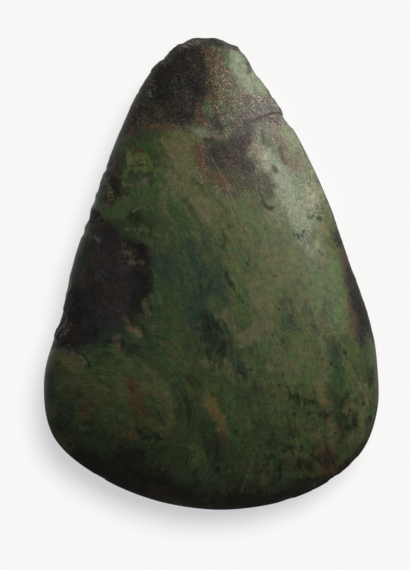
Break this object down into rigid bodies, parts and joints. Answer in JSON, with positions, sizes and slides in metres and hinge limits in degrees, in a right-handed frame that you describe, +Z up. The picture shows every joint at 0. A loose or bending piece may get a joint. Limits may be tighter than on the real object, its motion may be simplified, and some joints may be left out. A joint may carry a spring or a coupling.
{
  "type": "nephrite axe head",
  "caption": "Ground and polished stone axe head: a broad rounded blade, lens-shaped section and a blunt narrow butt.",
  "frame": {"origin": "under the middle of the head's plan, on the surface that it lies on", "axes": "+Y along the head from the blade to the butt, +Z up through its thickness from the face that it lies on"},
  "size_m": [0.1174, 0.165, 0.032],
  "materials": {
    "nephrite": "satin"
  },
  "bodies": {
    "root": {"axe_head": "nephrite"}
  },
  "joints": []
}
